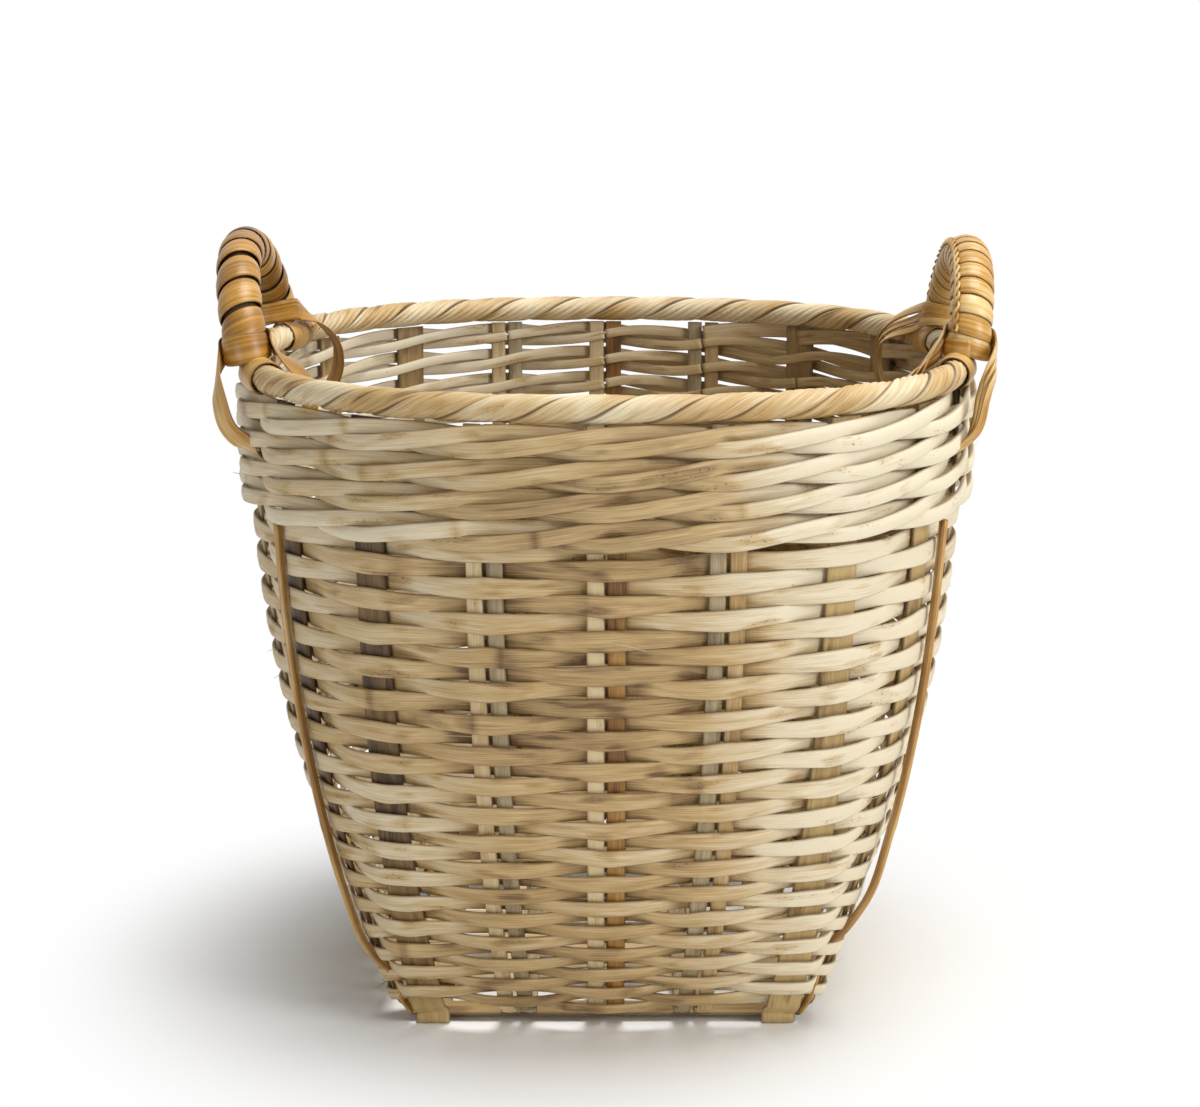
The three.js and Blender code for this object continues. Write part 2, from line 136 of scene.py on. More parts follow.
# %% World and floor
def seen_directly(tree):
    """A node that is 1 for a ray from the camera, from a gloss or through glass, and 0 for other light."""
    ray = add_node(tree, "ShaderNodeLightPath")
    rays = {0: (ray, "Is Camera Ray"), 1: (ray, "Is Glossy Ray")}
    mirrored = add_node(tree, "ShaderNodeMath", rays, operation="MAXIMUM")
    rays = {0: (mirrored, "Value"), 1: (ray, "Is Transmission Ray")}
    return add_node(tree, "ShaderNodeMath", rays, operation="MAXIMUM")


room_light = 0.15
fade_start, fade_end = 0.12, 0.33
pure_white = (1, 1, 1, 1)
world = bpy.data.worlds.new("studio")
world.use_nodes = True
tree = world.node_tree
tree.nodes.clear()
strength = add_node(tree, "ShaderNodeMapRange", {0: (seen_directly(tree), "Value"), 3: room_light, 4: 1.0})
sky = add_node(tree, "ShaderNodeBackground", {"Color": pure_white, "Strength": (strength, "Result")})
add_node(tree, "ShaderNodeOutputWorld", {"Surface": (sky, "Background")})
scene.world = world

floor_finish, tree = new_finish("white_paper_sheet")
place = add_node(tree, "ShaderNodeTexCoord")
far = add_node(tree, "ShaderNodeVectorMath", {0: (place, "Object")}, operation="LENGTH")
reaches = {0: (far, "Value"), 1: fade_start, 2: fade_end}
fade = add_node(tree, "ShaderNodeMapRange", reaches, interpolation_type="SMOOTHSTEP")
paper = add_node(tree, "ShaderNodeBsdfDiffuse", {"Color": linear("#F4F3F0")})
white = add_node(tree, "ShaderNodeEmission", {"Color": pure_white, "Strength": 1.0})
layers = {0: (fade, "Result"), 1: (paper, "BSDF"), 2: (white, "Emission")}
sheet = add_node(tree, "ShaderNodeMixShader", layers)
layers = {0: (seen_directly(tree), "Value"), 1: (paper, "BSDF"), 2: (sheet, "Shader")}
shown = add_node(tree, "ShaderNodeMixShader", layers)
add_node(tree, "ShaderNodeOutputMaterial", {"Surface": (shown, "Shader")})
floor_mesh = bpy.data.meshes.new("floor")
reach = 6
corners = [(-reach, -reach, 0), (reach, -reach, 0), (reach, reach, 0), (-reach, reach, 0)]
floor_mesh.from_pydata(corners, [], [(0, 1, 2, 3)])
floor_mesh.materials.append(floor_finish)
floor = bpy.data.objects.new("floor", floor_mesh)
scene.collection.objects.link(floor)
print("floor fades to white from", fade_start, "to", fade_end, "m")

# %% [markdown]
# ## Split bamboo
# A splint is split from a bamboo stem with a knife. Its fibres run straight along it, so its colour
# goes in long thin lines, with slow changes from pale straw to tan, small dark specks and a dark
# line along each cut edge. It is dry and almost matt. The pattern reads the splint's own UV map,
# which is in metres along and across it, and two attributes: tone, which says how pale or brown
# this splint is here, and edge, which is 1 on its cut edges.


# %% Patterns and skin of a strip
def strip_inputs(tree):
    """The UV map of a strip, its tone and its edge, as nodes."""
    place = add_node(tree, "ShaderNodeUVMap", uv_map="strip")
    tone = add_node(tree, "ShaderNodeAttribute", attribute_name="tone")
    edge = add_node(tree, "ShaderNodeAttribute", attribute_name="edge")
    return place, tone, edge


def marks(tree, place, length, width, detail):
    """A pattern of marks so long and so wide, in metres, that run along a strip."""
    stretch = (1 / length, 1 / width, 1)
    along = add_node(tree, "ShaderNodeMapping", {"Vector": (place, "UV"), "Scale": stretch})
    sockets = {"Vector": (along, "Vector"), "Scale": 1, "Detail": detail}
    return add_node(tree, "ShaderNodeTexNoise", sockets, noise_dimensions="2D")


def shifted(tree, tone, pattern, levels, shifts):
    """A tone plus a shift that goes from one value to another as a pattern goes between two levels."""
    sockets = {0: (pattern, "Fac"), 1: levels[0], 2: levels[1], 3: shifts[0], 4: shifts[1]}
    shift = add_node(tree, "ShaderNodeMapRange", sockets)
    return add_node(tree, "ShaderNodeMath", {0: tone, 1: (shift, "Result")}, operation="ADD"), "Value"


def aged_colour(tree, shade, edge, edge_start, codes):
    """Colour that goes through three codes as shade goes from 0 to 1, and to the last one on cut edges."""
    pale, tan, brown = (linear(code) for code in codes)
    low = add_node(tree, "ShaderNodeMapRange", {0: shade, 1: 0.0, 2: 0.5})
    high = add_node(tree, "ShaderNodeMapRange", {0: shade, 1: 0.5, 2: 1.0})
    rim = add_node(tree, "ShaderNodeMapRange", {0: (edge, "Fac"), 1: edge_start, 2: 1.0, 3: 0.0, 4: 0.7})
    colour = add_node(tree, "ShaderNodeMix", {0: (low, "Result"), 6: pale, 7: tan}, data_type="RGBA")
    for share in (high, rim):
        sockets = {0: (share, "Result"), 6: (colour, 2), 7: brown}
        colour = add_node(tree, "ShaderNodeMix", sockets, data_type="RGBA")
    return colour


def fibrous_skin(tree, colour, lines, least, most, relief):
    """Shader of a dry skin with lines that vary its roughness from least to most and stand up by 0.2 mm."""
    rough = add_node(tree, "ShaderNodeMapRange", {0: (lines, "Fac"), 3: least, 4: most})
    raised = {"Height": (lines, "Fac"), "Strength": relief, "Distance": 0.0002}
    bump = add_node(tree, "ShaderNodeBump", raised)
    skin = add_node(tree, "ShaderNodeBsdfPrincipled", {
        "Base Color": (colour, 2), "Roughness": (rough, "Result"), "Normal": (bump, "Normal"), "IOR": 1.5})
    add_node(tree, "ShaderNodeOutputMaterial", {"Surface": (skin, "BSDF")})


# %% Finish of split bamboo
def split_bamboo(name, pale, tan, brown, roughness):
    """Bamboo that goes from pale through tan to brown as its tone goes from 0 to 1."""
    finish, tree = new_finish(name)
    place, tone, edge = strip_inputs(tree)
    # Fibres are drawn 0.5 mm wide, coarser than real ones, so that they show
    fibre = marks(tree, place, 0.03, 0.0005, 2)
    shade = shifted(tree, (tone, "Fac"), fibre, (0.3, 0.7), (-0.12, 0.12))
    # Weathering in streaks about 25 mm long and 4 mm wide
    streak = marks(tree, place, 0.025, 0.004, 3)
    shade = shifted(tree, shade, streak, (0.3, 0.75), (-0.08, 0.12))
    # Stains about 30 mm apart, with specks up to 2 mm long inside them
    stain = marks(tree, place, 0.03, 0.008, 1)
    shade = shifted(tree, shade, stain, (0.58, 0.75), (0.0, 0.3))
    grain = marks(tree, place, 0.0022, 0.0009, 1)
    fine = add_node(tree, "ShaderNodeMapRange", {0: (grain, "Fac"), 1: 0.66, 2: 0.74})
    inside = add_node(tree, "ShaderNodeMapRange", {0: (stain, "Fac"), 1: 0.62, 2: 0.75, 3: 0.0, 4: 0.8})
    both = {0: (fine, "Result"), 1: (inside, "Result")}
    speck = add_node(tree, "ShaderNodeMath", both, operation="MULTIPLY")
    cut = aged_colour(tree, shade, edge, 0.3, (pale, tan, brown))
    dots = {0: (speck, "Value"), 6: (cut, 2), 7: linear("#4A3823")}
    dotted = add_node(tree, "ShaderNodeMix", dots, data_type="RGBA")
    fibrous_skin(tree, dotted, fibre, roughness - 0.1, roughness + 0.1, 0.5)
    return finish


# Weavers are scraped, so they are the palest. The ribbons of the rope have the darkest cut edges.
# Slats keep their skin and have weathered most.
weaver_finish = split_bamboo("bamboo_split_and_scraped", "#E1D4B7", "#BC9E6B", "#6A4E2D", 0.6)
band_finish = split_bamboo("bamboo_split_pale_inside", "#E2D6BA", "#C0A473", "#745632", 0.58)
rope_finish = split_bamboo("bamboo_ribbon_split_thin", "#E2D3B0", "#BD9A62", "#4A3219", 0.58)
stake_finish = split_bamboo("bamboo_split_dry", "#DCC79C", "#B08F5C", "#5C4327", 0.58)
grey_finish = split_bamboo("bamboo_split_weathered_grey", "#C8B894", "#968463", "#4A3D2C", 0.62)
amber_finish = split_bamboo("bamboo_split_with_amber_skin", "#C59A57", "#8F642B", "#43260F", 0.5)
slat_finish = split_bamboo("bamboo_skin_weathered", "#BFA36D", "#8A6C40", "#3F2D1A", 0.6)
print("bamboo finishes:", [m.name for m in bpy.data.materials if m.name.startswith("bamboo")])

# %% [markdown]
# ## Rattan peel and pole
# The handles are rattan, a climbing palm. Its skin is peeled off in long flat strips that are hard,
# smooth and a little glossy, amber with fine lines along them. The pole under it is duller.
# It is the same kind of pattern as bamboo, with finer and longer lines and less roughness.


# %% Finish of rattan
def rattan(name, light, amber, brown, roughness):
    """Rattan that goes from light through amber to brown as its tone goes from 0 to 1."""
    finish, tree = new_finish(name)
    place, tone, edge = strip_inputs(tree)
    # Lines 0.6 mm apart that run on for 80 mm
    line = marks(tree, place, 0.08, 0.0006, 2)
    shade = shifted(tree, (tone, "Fac"), line, (0.3, 0.7), (-0.2, 0.2))
    # Lighter and darker patches about 30 mm long and 8 mm wide
    patch = marks(tree, place, 0.03, 0.008, 3)
    shade = shifted(tree, shade, patch, (0.3, 0.7), (-0.15, 0.15))
    cut = aged_colour(tree, shade, edge, 0.4, (light, amber, brown))
    fibrous_skin(tree, cut, line, roughness - 0.08, roughness + 0.12, 0.4)
    return finish


peel_finish = rattan("rattan_peel_polished_by_hands", "#DEC083", "#B4802A", "#573816", 0.36)
pole_finish = rattan("rattan_pole_scraped", "#6B4C26", "#47301A", "#241709", 0.6)
print("rattan finishes:", peel_finish.name, pole_finish.name)

# %% [markdown]
# ## A profile carried along a path
# Nearly every piece of a basket is a strip: one cross-section carried along a bent path. The path,
# the strip's wide direction, its width and its thickness are arrays with one row for each ring, and
# the whole surface comes from one product of arrays. The ring starts in the middle of the inner
# face, so the seam of the UV map is hidden there. A piece is one strip or several.


# %% Meshes from rings
def unit(vectors):
    """Each vector divided by its length."""
    return vectors / np.linalg.norm(vectors, axis=-1, keepdims=True)


def lengths_along(path):
    """Distance from the start of a path to each of its points."""
    steps = np.linalg.norm(np.diff(path, axis=0), axis=1)
    return np.concatenate([[0], np.cumsum(steps)])


def run_of(path, is_loop=False):
    """Direction of a path at each of its points, from the point before to the point after."""
    if is_loop:
        return unit(np.roll(path, -1, axis=0) - np.roll(path, 1, axis=0))
    return unit(np.gradient(path, axis=0))


def surface(rings, along, around, tone, edge, is_loop=False):
    """A strip's surface from rings of points (ring, corner, xyz), closed round each ring. along and around
    are the UV map's metres. An open strip is closed at both ends by a flat cap."""
    count, size = rings.shape[:2]
    i = np.arange(count if is_loop else count - 1)[:, None]
    j = np.arange(size)[None, :]
    next_i = (i + 1) % count
    next_j = (j + 1) % size
    quads = np.stack([i * size + j, i * size + next_j, next_i * size + next_j, next_i * size + j], -1)
    u = np.stack([along[i], along[i], along[i + 1], along[i + 1]], -1) + 0 * quads
    v = np.stack([around[j], around[j + 1], around[j + 1], around[j]], -1) + 0 * quads
    made = {"points": rings.reshape(-1, 3), "quads": quads.reshape(-1, 4)}
    made["caps"] = np.zeros((0, size), dtype=int)
    made["quad_uv"] = np.stack([u, v], -1).reshape(-1, 2)
    made["cap_uv"] = np.zeros((0, 2))
    made["tone"] = np.broadcast_to(tone, (count, size)).ravel()
    made["edge"] = np.broadcast_to(edge, (count, size)).ravel()
    if not is_loop:
        made["caps"] = np.stack([np.arange(size)[::-1], np.arange(size) + (count - 1) * size])
        start = np.column_stack([np.full(size, along[0]), around[:-1][::-1]])
        end = np.column_stack([np.full(size, along[-1]), around[:-1]])
        made["cap_uv"] = np.concatenate([start, end])
    return made


def add_piece(node, kind, surfaces, finish):
    """One object made of one or more surfaces, in the place of a solid, with its name and a kind."""
    name = f"{node}_{kind}"
    first = np.cumsum([0] + [len(part["points"]) for part in surfaces])
    quads = np.concatenate([part["quads"] + start for part, start in zip(surfaces, first)])
    faces = quads.tolist()
    for part, start in zip(surfaces, first):
        faces += (part["caps"] + start).tolist()
    uv = np.concatenate([part["quad_uv"] for part in surfaces] + [part["cap_uv"] for part in surfaces])
    mesh = bpy.data.meshes.new(name)
    points = np.concatenate([part["points"] for part in surfaces])
    mesh.from_pydata(points.tolist(), [], faces)
    mesh.uv_layers.new(name="strip").data.foreach_set("uv", uv.ravel())
    for key in ("tone", "edge"):
        values = np.concatenate([part[key] for part in surfaces]).astype(np.float32)
        mesh.attributes.new(key, "FLOAT", "POINT").data.foreach_set("value", values)
    mesh.polygons.foreach_set("use_smooth", np.arange(len(faces)) < len(quads))
    mesh.materials.append(finish)
    mesh.validate()
    piece = bpy.data.objects.new(name, mesh)
    scene.collection.objects.link(piece)
    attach(piece, "root")
    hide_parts(node)


# %% Strips
# Each strip starts at a place of its own in the pattern, up to so many metres along and across it
pattern_spread = 5
edge_sharpness = 8


def splint_section(corners, crown):
    """Cross-section of a splint in half widths and half thicknesses: an oval with its sides squared,
    x = cos to the 0.4 and y = sin to the 0.6, and its back raised by crown times 1 - x squared."""
    turn = -np.pi / 2 + 2 * np.pi * np.arange(corners) / corners
    x = np.sign(np.cos(turn)) * np.abs(np.cos(turn)) ** 0.4
    y = np.sign(np.sin(turn)) * np.abs(np.sin(turn)) ** 0.6
    return np.column_stack([x, y + crown * (1 - x**2) * (y > 0)])


def strip(path, wide, width, thickness, tone, crown=0.3, corners=12, is_loop=False):
    """A strip's surface: each ring is the path's point plus half the width times x along the wide direction
    and half the thickness times y along the face, where the face is the path's run crossed with wide."""
    count = len(path)
    run = run_of(path, is_loop)
    wide = unit(wide - run * np.sum(wide * run, axis=1, keepdims=True))
    face = np.cross(run, wide)
    section = splint_section(corners, crown)
    half_width = np.broadcast_to(width, count)[:, None, None] / 2
    half_thick = np.broadcast_to(thickness, count)[:, None, None] / 2
    rings = path[:, None] + half_width * section[None, :, :1] * wide[:, None]
    rings = rings + half_thick * section[None, :, 1:] * face[:, None]
    along = lengths_along(np.vstack([path, path[:1]]) if is_loop else path) + rng.uniform(0, pattern_spread)
    outline = np.vstack([section, section[:1]]) * [np.mean(width) / 2, np.mean(thickness) / 2]
    around = lengths_along(outline)
    around = around - around[-1] / 2 + rng.uniform(0, pattern_spread)
    edge = np.abs(section[:, 0]) ** edge_sharpness
    return surface(rings, along, around, np.asarray(tone)[..., None], edge, is_loop)


def smooth(points, stretches):
    """A curve through every row of points, which may hold more columns than a place. Between two rows it
    is the cubic with their values and slopes at its ends, where a slope is the change per metre there."""
    where = lengths_along(points[:, :3])
    slope = np.gradient(points, where, axis=0)
    share = (np.arange(stretches) / stretches)[None, :, None]
    reach = np.diff(where)[:, None, None]
    before, after = points[:-1, None], points[1:, None]
    leave, arrive = slope[:-1, None] * reach, slope[1:, None] * reach
    bend = before * (2 * share**3 - 3 * share**2 + 1) + after * (3 * share**2 - 2 * share**3)
    bend = bend + leave * (share**3 - 2 * share**2 + share) + arrive * (share**3 - share**2)
    return np.vstack([bend.reshape(-1, points.shape[1]), points[-1:]])


def drift(along, grain, low, high):
    """Values that wander along a strip: a random one every grain metres, joined by straight lines."""
    knots = np.arange(0, along[-1] + 2 * grain, grain)
    return np.interp(along, knots, rng.uniform(low, high, knots.size))


joint_spacing, joint_width = 0.28, 0.0025


def joints(along):
    """1 at the joints of a bamboo stem, one in each spacing, and 0 between them, by a bell curve."""
    place = (along + rng.uniform(0, joint_spacing)) % joint_spacing
    return np.exp(-((place - joint_spacing / 2) / joint_width) ** 2)


def painted_light_and_shade(path):
    """Change of tone with the place: painted light and shade. The middle of the front is darker, painted
    shade, and both sides are paler, painted light, the right one most. The back, seen from inside, goes
    from painted light at the left to painted shade at the right. It is paler near the floor, but for the
    left end."""
    x, y, z = path.T
    front = np.interp(x, [-0.2, -0.1, -0.05, 0.04, 0.12], [-0.12, -0.02, 0.28, 0.26, -0.38])
    back = np.interp(x, [-0.1, 0.0, 0.12], [-0.3, 0.08, 0.25])
    share = np.clip(0.5 + y / 0.2, 0, 1)
    foot = 0.15 * np.clip(1 - z / 0.25, 0, 1) * np.clip(1 + x / 0.1, 0, 1)
    return front + (back - front) * share - foot


fibre_rings = 9
fibre_size, fibre_taper = 0.0006, 0.0004
fibre_bend = 0.004


def stray_fibre(path, wide, at, length):
    """A fibre that has come loose from a strip: it leaves it at one ring and bends off it with the square
    of the share of its length, outwards and by a random amount along the wide direction."""
    share = np.linspace(0, 1, fibre_rings)[:, None]
    run = unit(path[at + 1] - path[at])
    across = unit(wide[at])
    face = np.cross(run, across)
    off = face * fibre_bend + across * rng.uniform(-fibre_bend, fibre_bend)
    curve = path[at] + face * fibre_size + run * length * share + off * share**2
    size = fibre_size - fibre_taper * share[:, 0]
    return strip(curve, np.tile(wide[at], (fibre_rings, 1)), size, size / 2, 0.2 + 0 * size, 0, 6)


end_gap = 0.0005


def spliced(path):
    """A copy of a path that is short of the next length by a gap at each end."""
    path = path.copy()
    path[0] += end_gap * unit(path[1] - path[0])
    path[-1] += end_gap * unit(path[-2] - path[-1])
    return path


def frayed(path, wide, width, thickness, tone, crown, fibre_length):
    """The surfaces of a strip and of two fibres that have come loose from it at random rings."""
    strips = [strip(path, wide, width, thickness, tone, crown)]
    return strips + [stray_fibre(path, wide, at, fibre_length) for at in rng.integers(0, len(path) - 2, 2)]


print("first corners of a splint's section:", splint_section(12, 0.3)[:4].round(2).tolist())

# %% [markdown]
# ## The wall
# The base is square and the rim is a rounded square, a superellipse. A stake goes from one to the
# other, and the wall swells early, so it is steep near the rim. Every other piece is placed on this
# wall: so far along it, so far across a stake and so far off it. The sizes are those of the solids.

# %% Sizes of the wall in metres
base_half = 0.104
rim_half = 0.187
rim_squareness = 2.4
rim_height = 0.342
wall_belly = 2.5
clearance = 0.00035
stakes_per_side = 5
stake_count = 4 * stakes_per_side
side_middle = 2
slat_width, slat_thickness = 0.018, 0.0025
splint_width, splint_thickness, splint_gap = 0.009, 0.002, 0.0012
slat_at = base_half - 0.013
stake_pitch = slat_at / side_middle
pair_width = 2 * splint_width + splint_gap
rope_radius = 0.0075
stake_top = rim_height - rope_radius - clearance
wall_foot = 0.012
upright = np.array([0, 0, 1])


def rim_radius(angle):
    """Radius of the rim: its half width over the 1/n power of cos to the n plus sin to the n."""
    power = rim_squareness
    return rim_half * (np.abs(np.cos(angle)) ** power + np.abs(np.sin(angle)) ** power) ** (-1 / power)


def side_directions(side):
    """Level directions along a side of the basket and out of it. The sides are quarter turns apart."""
    turn = side * np.pi / 2
    along = np.stack([np.cos(turn), np.sin(turn), 0 * turn], -1)
    return along, np.stack([np.sin(turn), -np.cos(turn), 0 * turn], -1)


def wall_place(stake, z):
    """Middle of a stake at a height, and the level direction across it. The place goes from the base's
    square to the rim by a share of 1 - (1 - z / height) to the belly, and so does the turn."""
    place = stake % stakes_per_side - side_middle
    along, out = side_directions(stake // stakes_per_side)
    share = 1 - np.clip(1 - z / rim_height, 0, None) ** wall_belly
    angle = place * 2 * np.pi / stake_count
    radius = rim_radius(angle)
    across = place * stake_pitch * (1 - share) + radius * np.sin(angle) * share
    away = base_half * (1 - share) + radius * np.cos(angle) * share
    lean = np.sign(angle) * np.arctan(np.abs(np.tan(angle)) ** (rim_squareness - 1)) * share
    point = along * across[..., None] + out * away[..., None]
    point[..., 2] = z
    level = along * np.cos(lean)[..., None] - out * np.sin(lean)[..., None]
    return point, level


def wall(stake, z):
    """Middle of a stake, the directions across it, up it and out of it."""
    stake, z = np.broadcast_arrays(np.asarray(stake), np.asarray(z, dtype=float))
    point, level = wall_place(stake, z)
    step = 0.002
    up = unit(wall_place(stake, z + step)[0] - wall_place(stake, z - step)[0])
    return point, level, up, unit(np.cross(level, up))


def is_slat(stake):
    """True for the stakes beside a corner, which are slats."""
    return np.abs(stake % stakes_per_side - side_middle) == side_middle


def half_stake(stake):
    """Half the thickness of a stake."""
    return np.where(is_slat(stake), slat_thickness, splint_thickness) / 2


print("rim radius at a side and at a corner:", rim_radius(np.array([0, np.pi / 4])).round(4))

# %% [markdown]
# ## Stakes
# Each stake is half of a strip that lies across the base and turns up at both ends. The outermost
# strip each way is one broad slat with its skin on. The others are pairs of narrow splints of
# unlike age and colour, and on the base the pairs weave over and under each other. The path goes
# down one wall, across and up the other.

# %% Path of a strip
low_slat = slat_thickness / 2
high_slat = low_slat + slat_thickness + clearance
mat_low = high_slat + slat_thickness / 2 + clearance + splint_thickness / 2
mat_high = mat_low + splint_thickness + clearance
wall_heights = wall_foot + (stake_top - wall_foot) * np.linspace(0, 1, 16) ** 1.5


def base_path(side, place):
    """Distances from the middle of the base and heights of one half of a strip on it. A heel is listed as
    steps out from the base's edge and up."""
    if abs(place) == side_middle:
        level = low_slat if side == 0 else high_slat
        heel = [(0.0008, 0.006), (0.0003, 0.0025), (-0.0012, 0.0004), (-0.004, 0), (-0.008, 0), (-0.016, 0)]
        return [(base_half + x, level + z) for x, z in heel] + [(0.05, level)]
    radius = 0.003
    heel = [(0, radius), (-0.3 * radius, 0.3 * radius), (-radius, 0), (-2 * radius, 0)]
    path = [(base_half + x, mat_low + z) for x, z in heel]
    flat = pair_width / 2 + 0.0015
    level = mat_high if (place + 1 + side) % 2 == 0 else mat_low
    path += [(stake_pitch + flat, level), (stake_pitch - flat, level)]
    level = mat_high if (place + side) % 2 == 0 else mat_low
    return path + [(flat, level)]


def strip_path(side, place):
    """Places and wide directions along a whole strip, from the top of one wall to the top of the other."""
    near, near_level = wall(side * stakes_per_side + place + side_middle, wall_heights[::-1])[:2]
    far, far_level = wall((side + 2) * stakes_per_side - place + side_middle, wall_heights)[:2]
    along, out = side_directions(side)
    half = np.array(base_path(side, place))
    away, z = np.concatenate([half, half[::-1] * [-1, 1]]).T
    lying = along * place * stake_pitch + out * away[:, None] + upright * z[:, None]
    point = np.concatenate([near, lying, far])
    level = np.concatenate([near_level, np.tile(along, (len(lying), 1)), -far_level])
    curve = smooth(np.hstack([point, level]), 5)
    curve[:, 2] = np.maximum(curve[:, 2], z.min())
    return curve[:, :3], unit(curve[:, 3:6])


print("levels of slats and splints on the base:", np.round([low_slat, high_slat, mat_low, mat_high], 5))

# %% Slats and pairs of splints
# Tones of a slat on its first wall, on the base and on its second wall, and the finish and tone of each
# splint that the photograph shows
strip_names = ("front_to_back", "right_to_left")
slat_tones = {"front_to_back_1": (0.75, 0.15, 0.4), "front_to_back_5": (0.1, 0.0, 0.3),
              "right_to_left_1": (0.15, 0.25, 0.8), "right_to_left_5": (0.35, 0.3, 0.2)}
splint_looks = {"front_to_back_2a": (stake_finish, 0.1), "front_to_back_2b": (grey_finish, 0.4),
                "front_to_back_3a": (stake_finish, 0.05), "front_to_back_3b": (amber_finish, 0.45),
                "front_to_back_4a": (grey_finish, 0.35), "front_to_back_4b": (stake_finish, 0.42)}
spare_finishes = (stake_finish, stake_finish, grey_finish, stake_finish, amber_finish)
made = 0
for side in (0, 1):
    for place in range(-side_middle, side_middle + 1):
        path, level = strip_path(side, place)
        along = lengths_along(path)
        key = f"{strip_names[side]}_{place + side_middle + 1}"
        if abs(place) == side_middle:
            width = slat_width + drift(along, 0.05, -0.0008, 0.0003)
            first, lying, second = slat_tones[key]
            tone = np.interp(along / along[-1], [0.25, 0.385, 0.615, 0.75], [first, lying, lying, second])
            tone = tone + drift(along, 0.03, -0.15, 0.15)
            slat = strip(path, level, width, slat_thickness, tone, 0, 16)
            add_piece(f"slat_{key}", "strip", [slat], slat_finish)
            made += 1
            continue
        for half, letter in ((-1, "a"), (1, "b")):
            spare = (spare_finishes[rng.integers(5)], rng.uniform(0.05, 0.35))
            finish, shade = splint_looks.get(key + letter, spare)
            width = splint_width + rng.uniform(-0.0007, 0.0005) + drift(along, 0.04, -0.0004, 0.0004)
            shift = half * (splint_width + splint_gap) / 2
            # The amber splint is patchy
            spread = 0.4 if finish == amber_finish else 0.12
            tone = shade + drift(along, 0.04, -spread, spread)
            splint = strip(path + level * shift, level, width, splint_thickness, tone, 0.3)
            add_piece(f"splint_{key}{letter}", "strip", [splint], finish)
            made += 1
print("strips of the base and walls:", made)

# %% [markdown]
# ## Weave
# Two weavers chase each other round the wall, each behind one stake and in front of the next, and
# each climbs two rows in a turn. With an even count of stakes, one weaver alone would pass the same
# stakes the same way in every row, which is why there are two. A splint bows out over a stake and is
# a little broader there, because the rows above and below it are on the other side of that stake.
# Its path is a curve through three places at each stake. Some fibres have come loose.

# %% Weavers
weaver_rows = 34
weaver_thickness = 0.0018
weaver_bow = 0.0014
front_bow, front_press = 0.001, 0.0002
row_fill, row_swell = 1.04, 0.24
tuck_reach, side_bow = 0.75, 0.55
weaver_scatter = 0.00025
weaver_lengths = 8
weave_foot = 0.0115
weave_top = rim_height - 0.0662
row_spread = 1.17
# At the right front foot the lowest splint goes behind the slat, so that more of the foot shows
foot_stake = 4
# Mean way from stake to stake, which turns a place across a stake into a share of a step
stake_spacing = 0.052
weaver_stretches = 5


def row_height(rows):
    """Height of a place in the weave, counted in rows from its lower edge."""
    return weave_foot + (weave_top - weave_foot) * (np.clip(rows, 0, None) / weaver_rows) ** row_spread


def weaver_frames(origin, start, steps):
    """Places, up directions, row pitch up the wall and place in the round along a whole weaver."""
    step = start + np.arange(steps + 1)[:, None]
    stake = step % stake_count
    behind = ((step - start) % 2 == 0) | ((origin == 0) & (step == foot_stake))
    flush = half_stake(stake) + clearance + weaver_thickness / 2
    reach = np.where(is_slat(stake), slat_width / 2, pair_width / 2)
    side = np.array([-1, 0, 1])
    across = side * np.where(behind, tuck_reach * reach, reach)
    bow = np.where(side == 0, 1, side_bow)
    away = np.where(behind, -flush - weaver_bow * bow, flush + front_bow * bow - front_press)
    phase = step + across / stake_spacing
    rows = 2 * (phase - origin) / stake_count
    low, high = row_height(rows), row_height(rows + 1)
    height = (low + high) / 2 + rng.normal(0, weaver_scatter, rows.shape)
    point, level, up, out = wall(stake + 0 * side, height)
    place = point + level * across[..., None] + out * away[..., None]
    columns = [place, up, ((high - low) / up[..., 2])[..., None], phase[..., None]]
    return np.concatenate(columns, -1).reshape(-1, 8)


weaver_steps = (weaver_rows - 1) * (stake_count // 2) + 2
stake_rings = 3 * weaver_stretches
for letter, origin, start in (("a", 0, 1), ("b", stake_count // 2, stake_count // 2)):
    frames = smooth(weaver_frames(origin, start, weaver_steps), weaver_stretches)
    cuts = 2 * np.round(weaver_steps * np.arange(weaver_lengths + 1) / weaver_lengths / 2).astype(int)
    for i in range(weaver_lengths):
        first, last = stake_rings * cuts[i:i + 2] + weaver_stretches
        part = frames[first:last + 1]
        path, up, pitch, phase = spliced(part[:, :3]), part[:, 3:6], part[:, 6], part[:, 7]
        along = lengths_along(path)
        knot = joints(along)
        swell = row_fill + row_swell * np.cos(np.pi * phase) ** 2
        width = pitch * swell + drift(along, 0.03, -0.0004, 0.0003)
        # Painted shade darkens a splint where it goes in behind a stake
        painted_stake_shade = 0.45 * np.exp(-((np.cos(np.pi * (phase - start)) - 0.8) / 0.14) ** 2)
        tone = rng.uniform(0.08, 0.28) + drift(along, 0.12, -0.04, 0.26)
        # Painted light and shade by the place on the basket are added to the tone
        tone = tone + 0.35 * knot + painted_light_and_shade(path) + painted_stake_shade
        strips = frayed(path, up, width, weaver_thickness * (1 + 0.4 * knot), tone, 0.45, 0.025)
        add_piece(f"weaver_{letter}{i + 1}", "splint", strips, weaver_finish)
print("weaver splints:", 2 * weaver_lengths)

# %% [markdown]
# ## Band
# The band under the rim is a three-strand wale. Each strand goes behind one stake and in front of
# two: it comes out low, rises slowly across both and tucks in high. The three follow each other one
# stake apart, so there are two strands of a round in front of every stake, the newer one lower and
# further out. A strand is broadest halfway between its two stakes.

